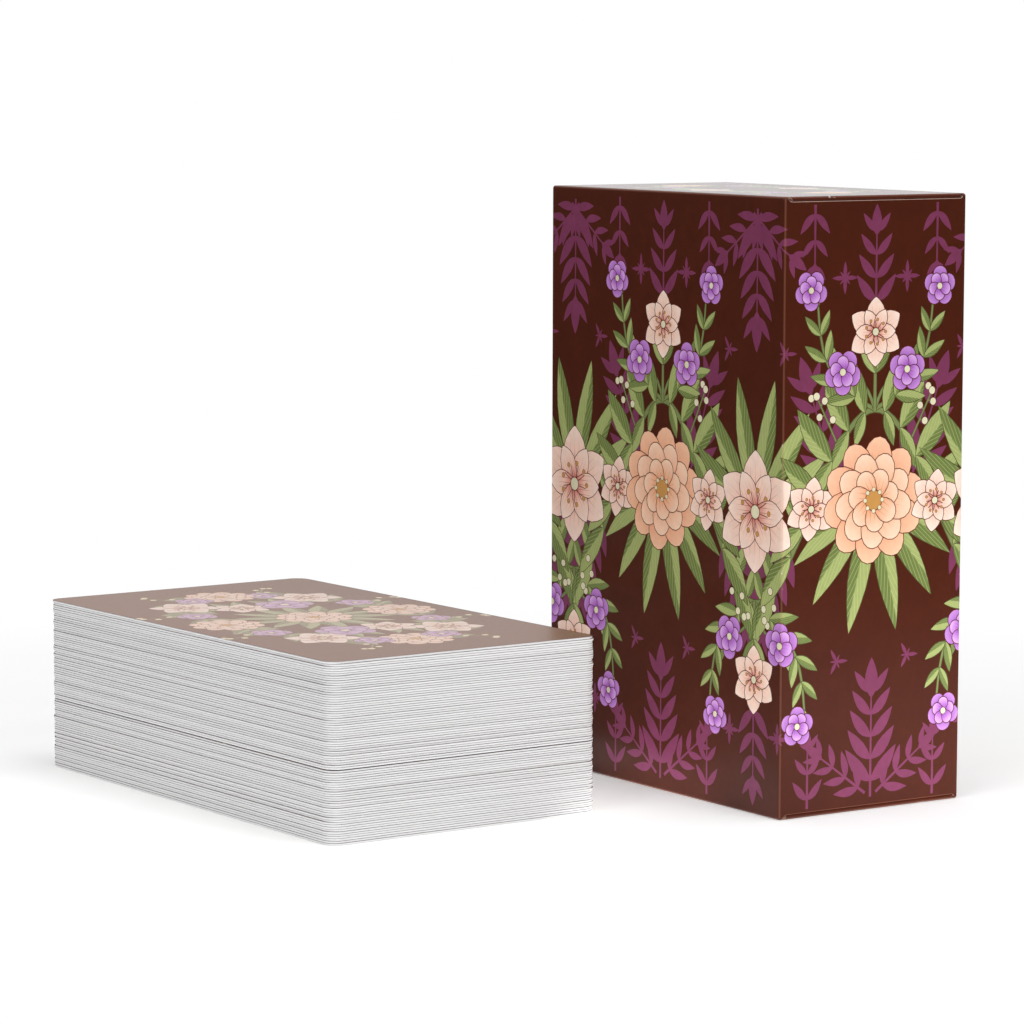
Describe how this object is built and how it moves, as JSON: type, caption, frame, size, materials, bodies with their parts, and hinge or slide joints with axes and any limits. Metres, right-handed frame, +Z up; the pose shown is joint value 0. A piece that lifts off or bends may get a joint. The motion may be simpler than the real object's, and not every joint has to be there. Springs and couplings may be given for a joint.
{
  "type": "tarot card deck",
  "caption": "Pack of tarot cards lying face down beside its upright paperboard tuck carton, whose lid, tuck tab and dust flaps fold open.",
  "frame": {"origin": "centre of the carton's base, on the surface that the carton and the pack of cards stand on", "axes": "+Z up; +X towards the narrow wall that the tuck tabs slide behind; -Y towards the wide wall that faces the pack of cards"},
  "size_m": [0.1511, 0.1512, 0.1356],
  "materials": {
    "carton_board": "satin",
    "card_stock": "matte"
  },
  "bodies": {
    "carton": {"carton_sleeve": "carton_board", "glue_flap": "carton_board", "base_panel": "carton_board", "base_tuck_tab": "carton_board", "base_dust_flap_front": "carton_board", "base_dust_flap_back": "carton_board"},
    "lid": {"lid_panel": "carton_board"},
    "lid_tab": {"lid_tuck_tab": "carton_board"},
    "front_dust_flap": {"lid_dust_flap_front": "carton_board"},
    "back_dust_flap": {"lid_dust_flap_back": "carton_board"},
    "lower_packet": {"major_00": "card_stock", "major_01": "card_stock", "major_02": "card_stock", "major_03": "card_stock", "major_04": "card_stock", "major_05": "card_stock", "major_06": "card_stock", "major_07": "card_stock", "major_08": "card_stock", "major_09": "card_stock", "major_10": "card_stock", "major_11": "card_stock", "major_12": "card_stock", "major_13": "card_stock", "major_14": "card_stock", "major_15": "card_stock", "major_16": "card_stock", "major_17": "card_stock", "major_18": "card_stock", "major_19": "card_stock", "major_20": "card_stock", "major_21": "card_stock", "wands_ace_two": "card_stock", "wands_three_four": "card_stock", "wands_five_six": "card_stock", "wands_seven_eight": "card_stock", "wands_nine_ten": "card_stock"},
    "upper_packet": {"wands_page_knight_queen": "card_stock", "wands_king": "card_stock", "cups_ace_two": "card_stock", "cups_three_four": "card_stock", "cups_five_six": "card_stock", "cups_seven_eight": "card_stock", "cups_nine_ten": "card_stock", "cups_page_knight_queen": "card_stock", "cups_king": "card_stock", "swords_ace_two": "card_stock", "swords_three_four": "card_stock", "swords_five_six": "card_stock", "swords_seven_eight": "card_stock", "swords_nine_ten": "card_stock", "swords_page_knight_queen": "card_stock", "swords_king": "card_stock", "pentacles_ace_two": "card_stock", "pentacles_three_four": "card_stock", "pentacles_five_six": "card_stock", "pentacles_seven_eight": "card_stock", "pentacles_nine_ten": "card_stock", "pentacles_page_knight_queen": "card_stock"},
    "top_card": {"pentacles_king": "card_stock"}
  },
  "joints": [
    {"name": "lid_hinge", "type": "hinge", "parent": "carton", "child": "lid", "pos_m": [-0.04375, 0, 0.135], "axis": [0, -1, 0], "range_deg": [0, 150]},
    {"name": "tuck_tab_fold", "type": "hinge", "parent": "lid", "child": "lid_tab", "pos_m": [0.04375, 0, 0.135], "axis": [0, -1, 0], "range_deg": [0, 46]},
    {"name": "front_dust_flap_fold", "type": "hinge", "parent": "carton", "child": "front_dust_flap", "pos_m": [0, -0.02461, 0.135], "axis": [1, 0, 0], "range_deg": [0, 91]},
    {"name": "back_dust_flap_fold", "type": "hinge", "parent": "carton", "child": "back_dust_flap", "pos_m": [0, 0.02461, 0.135], "axis": [-1, 0, 0], "range_deg": [0, 91]},
    {"name": "pack_lift", "type": "slide", "parent": "carton", "child": "lower_packet", "axis": [0, 0, 1], "range_m": [0, 0.15]},
    {"name": "pack_cut", "type": "slide", "parent": "lower_packet", "child": "upper_packet", "axis": [0, 0, 1], "range_m": [0, 0.06]},
    {"name": "top_card_deal", "type": "slide", "parent": "upper_packet", "child": "top_card", "axis": [0.0297, -0.9996, 0], "range_m": [0, 0.075]}
  ],
  "couplings": [
    {"joint": "tuck_tab_fold", "follows": "lid_hinge", "ratio": 0.3},
    {"joint": "front_dust_flap_fold", "follows": "lid_hinge", "ratio": 0.6},
    {"joint": "back_dust_flap_fold", "follows": "lid_hinge", "ratio": 0.6}
  ]
}
